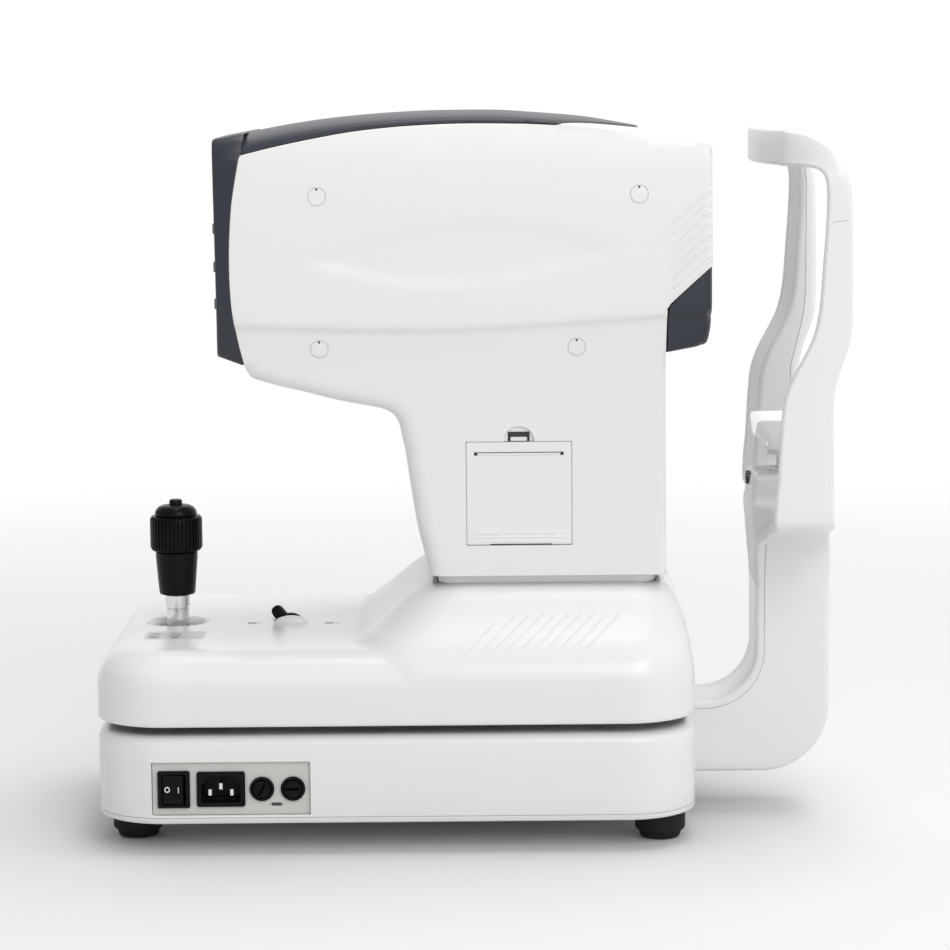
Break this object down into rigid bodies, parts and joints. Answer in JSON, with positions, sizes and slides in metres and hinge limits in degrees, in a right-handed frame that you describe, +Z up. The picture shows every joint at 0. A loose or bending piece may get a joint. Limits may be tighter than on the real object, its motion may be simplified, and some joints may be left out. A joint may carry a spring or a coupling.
{
  "type": "autorefractor",
  "caption": "Desktop autorefractor: sliding stage with joystick, lifting measuring head with screen and printer, and chin rest on a curved column.",
  "frame": {"origin": "middle of the bounding box in plan, on the surface the feet stand on", "axes": "+X towards the patient, along the length; +Y to the operator's left, across the width; +Z up"},
  "size_m": [0.4924, 0.2625, 0.4732],
  "materials": {
    "shell_white": "satin",
    "shell_grey": "satin",
    "dark_plastic": "satin",
    "black_plastic": "gloss",
    "light_plastic": "satin",
    "painted_steel": "satin",
    "rubber_black": "matte",
    "steel": "brushed",
    "chrome": "polished",
    "aluminium": "satin",
    "brass": "satin",
    "glass": "polished",
    "screen_glass": "gloss",
    "pad_silicone": "matte",
    "paper": "matte"
  },
  "bodies": {
    "base": {"base_shell": "shell_grey", "base_plate": "painted_steel", "feet": "rubber_black", "power_panel": "light_plastic", "switch_housing": "black_plastic", "inlet_housing": "black_plastic", "inlet_pins": "brass", "fuse_holders": "black_plastic", "power_supply": "aluminium", "racks": "steel", "friction_pad": "steel", "chin_column": "shell_white", "frame_inner": "shell_white", "frame_outer": "shell_white", "forehead_band": "shell_white", "forehead_pad": "pad_silicone", "chin_motor": "dark_plastic"},
    "cross_slide": {"cross_plate": "aluminium", "lateral_rails": "steel"},
    "axle": {"wheel_axle": "steel"},
    "stage": {"stage_cover": "shell_grey", "stage_chassis": "aluminium", "lift_sleeve": "aluminium", "lift_columns": "steel", "lift_motor": "dark_plastic", "joystick_dish": "shell_white", "stick_socket": "dark_plastic"},
    "screw": {"lead_screw": "steel"},
    "gimbal": {"gimbal_ring": "chrome"},
    "stick": {"stick_shaft": "chrome", "stick_shield": "shell_white", "stick_grip": "dark_plastic", "stick_cap": "dark_plastic"},
    "ring": {"lift_ring": "black_plastic"},
    "button": {"measure_button": "black_plastic"},
    "lever": {"lock_lever": "black_plastic"},
    "head": {"head_shell_near": "shell_white", "head_shell_far": "shell_white", "head_top": "dark_plastic", "screen_bezel": "dark_plastic", "screen": "screen_glass", "front_fascia": "dark_plastic", "window_glass": "glass", "optics_barrel": "dark_plastic", "head_chassis": "aluminium", "screw_caps": "light_plastic", "printer_frame": "dark_plastic"},
    "key_upper": {"key_top": "dark_plastic"},
    "key_middle": {"key_mid": "dark_plastic"},
    "key_lower": {"key_low": "dark_plastic"},
    "door": {"printer_door": "shell_grey"},
    "latch": {"door_latch": "black_plastic"},
    "roll": {"paper_roll": "paper"},
    "platen": {"platen_roller": "rubber_black"},
    "rocker": {"power_rocker": "black_plastic"},
    "cap_a": {"fuse_cap_a": "black_plastic"},
    "cap_b": {"fuse_cap_b": "black_plastic"},
    "chin_lift": {"chin_stem": "aluminium", "chin_cup": "shell_white"},
    "chin_drive": {"chin_screw": "steel"}
  },
  "joints": [
    {"name": "fore_aft", "type": "slide", "parent": "base", "child": "cross_slide", "axis": [1, 0, 0], "range_m": [-0.02, 0.02]},
    {"name": "axle_roll", "type": "hinge", "parent": "cross_slide", "child": "axle", "pos_m": [-0.05115, 0, 0.093], "axis": [0, 1, 0], "range_deg": [-128, 128]},
    {"name": "side_to_side", "type": "slide", "parent": "cross_slide", "child": "stage", "axis": [0, 1, 0], "range_m": [-0.043, 0.043]},
    {"name": "head_lift", "type": "slide", "parent": "stage", "child": "head", "axis": [0, 0, 1], "range_m": [0, 0.03]},
    {"name": "screw_turn", "type": "hinge", "parent": "stage", "child": "screw", "pos_m": [0.04885, 0.025, 0.15], "axis": [0, 0, 1], "range_deg": [0, 2160]},
    {"name": "stick_sideways", "type": "hinge", "parent": "stage", "child": "gimbal", "pos_m": [-0.20115, 0, 0.095], "axis": [1, 0, 0], "range_deg": [-10, 10]},
    {"name": "stick_fore_aft", "type": "hinge", "parent": "gimbal", "child": "stick", "pos_m": [-0.20115, 0, 0.095], "axis": [0, 1, 0], "range_deg": [-10, 10]},
    {"name": "ring_turn", "type": "hinge", "parent": "stick", "child": "ring", "pos_m": [-0.20115, 0, 0.19], "axis": [0, 0, 1], "range_deg": [0, 540]},
    {"name": "button_press", "type": "slide", "parent": "stick", "child": "button", "axis": [0, 0, -1], "range_m": [0, 0.0025], "stiffness_N_per_m": 900},
    {"name": "lock_turn", "type": "hinge", "parent": "stage", "child": "lever", "pos_m": [-0.12515, 0, 0.124], "axis": [0, 1, 0], "range_deg": [0, 76]},
    {"name": "key_upper_press", "type": "slide", "parent": "head", "child": "key_upper", "axis": [1, 0, 0], "range_m": [0, 0.001], "stiffness_N_per_m": 1500},
    {"name": "key_middle_press", "type": "slide", "parent": "head", "child": "key_middle", "axis": [1, 0, 0], "range_m": [0, 0.001], "stiffness_N_per_m": 1500},
    {"name": "key_lower_press", "type": "slide", "parent": "head", "child": "key_lower", "axis": [1, 0, 0], "range_m": [0, 0.001], "stiffness_N_per_m": 1500},
    {"name": "door_open", "type": "hinge", "parent": "head", "child": "door", "pos_m": [0.02985, -0.0845, 0.1948], "axis": [1, 0, 0], "range_deg": [0, 85]},
    {"name": "latch_lift", "type": "slide", "parent": "head", "child": "latch", "axis": [0, 0, 1], "range_m": [0, 0.002], "stiffness_N_per_m": 800},
    {"name": "roll_turn", "type": "hinge", "parent": "head", "child": "roll", "pos_m": [0.02985, -0.052, 0.235], "axis": [1, 0, 0], "continuous": true},
    {"name": "platen_turn", "type": "hinge", "parent": "head", "child": "platen", "pos_m": [0.02985, -0.074, 0.2528], "axis": [1, 0, 0], "continuous": true},
    {"name": "switch_rock", "type": "hinge", "parent": "base", "child": "rocker", "pos_m": [-0.19395, -0.126, 0.0425], "axis": [0, 0, 1], "range_deg": [0, 20]},
    {"name": "fuse_cap_a_turn", "type": "hinge", "parent": "base", "child": "cap_a", "pos_m": [-0.13725, -0.128, 0.0425], "axis": [0, -1, 0], "range_deg": [0, 90]},
    {"name": "fuse_cap_b_turn", "type": "hinge", "parent": "base", "child": "cap_b", "pos_m": [-0.11735, -0.128, 0.0425], "axis": [0, -1, 0], "range_deg": [0, 90]},
    {"name": "chin_lift_slide", "type": "slide", "parent": "base", "child": "chin_lift", "axis": [0, 0, 1], "range_m": [0, 0.06]},
    {"name": "chin_screw_turn", "type": "hinge", "parent": "base", "child": "chin_drive", "pos_m": [0.21335, 0, 0.15], "axis": [0, 0, 1], "range_deg": [0, 5400]}
  ],
  "couplings": [
    {"joint": "axle_roll", "follows": "fore_aft", "rad_per_m": 111.11},
    {"joint": "screw_turn", "follows": "head_lift", "rad_per_m": 1256.6},
    {"joint": "ring_turn", "follows": "head_lift", "rad_per_m": 314.16},
    {"joint": "platen_turn", "follows": "roll_turn", "ratio": -4.2222},
    {"joint": "chin_screw_turn", "follows": "chin_lift_slide", "rad_per_m": 1570.8}
  ]
}
